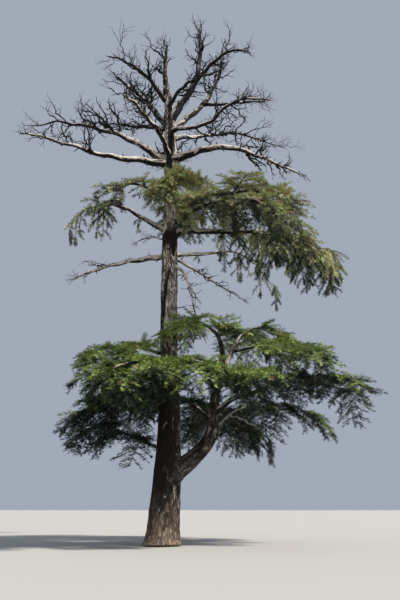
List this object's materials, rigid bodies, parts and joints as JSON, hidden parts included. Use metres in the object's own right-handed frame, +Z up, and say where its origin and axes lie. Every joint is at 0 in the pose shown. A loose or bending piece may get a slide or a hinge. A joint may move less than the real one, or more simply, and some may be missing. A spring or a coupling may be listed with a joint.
{
  "type": "cedar tree",
  "caption": "Tall old cedar: a straight tapering trunk, a dead bare top, living boughs at middle height and a broad low crown carried in part by a thick second stem.",
  "frame": {"origin": "middle of the flat cut under the trunk, at ground level", "axes": "+Z up along the trunk, +X to the side the thick second stem grows on, +Y to the back of the tree as it was seen"},
  "size_m": [18.1362, 12.5756, 28.9359],
  "materials": {
    "bark": "rough fissured bark",
    "dead_wood": "weathered grey wood",
    "dead_twigs": "weathered grey twigs",
    "needles": "matt green needles"
  },
  "bodies": {
    "root": {"trunk": "bark", "arm": "bark", "arm_upright": "bark", "bough_leader_left": "dead_wood", "bough_leader_right": "dead_wood", "bough_left_long": "dead_wood", "bough_left_level": "dead_wood", "bough_right_steep": "dead_wood", "bough_right_long": "dead_wood", "bough_middle_left": "bark", "bough_middle_right_upper": "bark", "bough_middle_right_far": "bark", "bough_middle_pale": "bark", "bough_dead_left_low": "dead_wood", "bough_low_right_top": "bark", "bough_low_right_long": "bark", "bough_low_right_under": "bark", "twigs_leader_left": "dead_twigs", "twigs_leader_right": "dead_twigs", "twigs_leader_outer": "dead_twigs", "twigs_left_inner": "dead_twigs", "twigs_left_steep": "dead_twigs", "twigs_left_short": "dead_twigs", "twigs_left_long": "dead_twigs", "twigs_left_level": "dead_twigs", "twigs_right_steep": "dead_twigs", "twigs_right_arching": "dead_twigs", "twigs_right_hooked": "dead_twigs", "twigs_right_level": "dead_twigs", "twigs_right_long": "dead_twigs", "twigs_front_crossing": "dead_twigs", "twigs_back_dead": "dead_twigs", "twigs_front_dead": "dead_twigs", "foliage_middle_left_upper": "needles", "foliage_middle_left": "needles", "foliage_middle_front": "needles", "foliage_middle_right_upper": "needles", "foliage_middle_right_front": "needles", "foliage_middle_right_far": "needles", "foliage_middle_right_low": "needles", "foliage_middle_pale": "needles", "foliage_middle_back": "needles", "twigs_dead_falling": "dead_twigs", "twigs_dead_hanging": "dead_twigs", "twigs_dead_left_low": "dead_twigs", "foliage_low_over": "needles", "foliage_low_right_top": "needles", "foliage_low_right_second": "needles", "foliage_low_right_long": "needles", "foliage_low_right_under": "needles", "foliage_low_right_hanging": "needles", "foliage_low_inner": "needles", "foliage_low_arm_back": "needles", "foliage_low_front_right": "needles", "foliage_low_right_inner": "needles", "foliage_low_front_left": "needles", "foliage_low_left_top": "needles", "foliage_low_left_long": "needles", "foliage_low_left_under": "needles", "foliage_low_back": "needles"}
  },
  "joints": []
}
